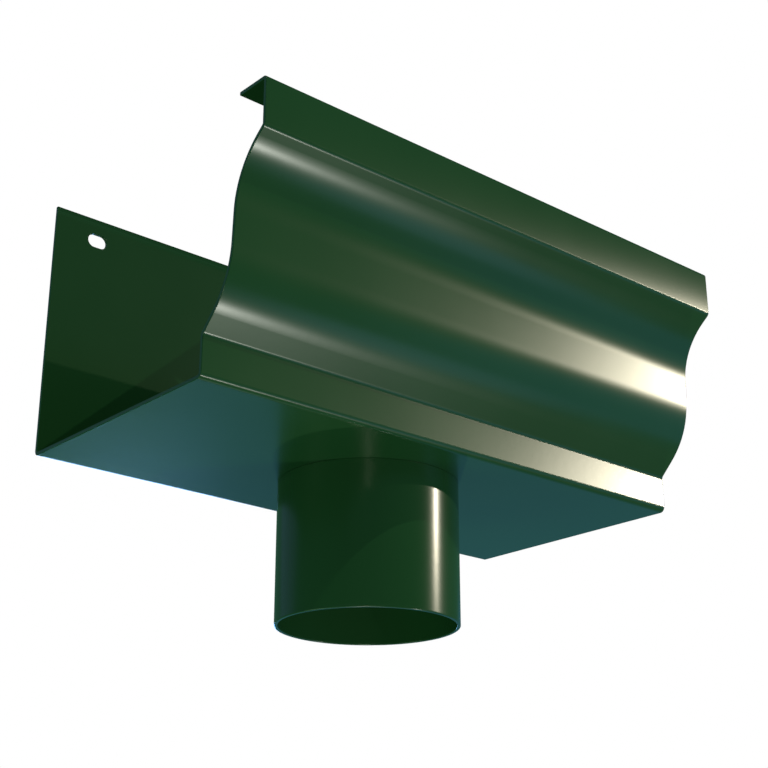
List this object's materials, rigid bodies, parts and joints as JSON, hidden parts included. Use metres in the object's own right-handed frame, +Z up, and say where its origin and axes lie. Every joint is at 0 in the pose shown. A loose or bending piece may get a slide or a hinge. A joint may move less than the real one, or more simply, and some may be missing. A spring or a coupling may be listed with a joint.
{
  "type": "gutter outlet",
  "caption": "Short open-ended trough of ogee gutter folded from sheet, with a round spigot under its sole and fixing slots along the top of its back wall.",
  "frame": {"origin": "on the spigot's axis, level with the underside of the sole", "axes": "+X along the gutter, +Y back towards the wall that it is fixed to, +Z up"},
  "size_m": [0.25, 0.1474, 0.171],
  "materials": {
    "coated_sheet": "glossy dark green powder coat",
    "coated_tube": "glossy dark green powder coat"
  },
  "bodies": {
    "root": {"trough": "coated_sheet", "spigot": "coated_tube"}
  },
  "joints": []
}
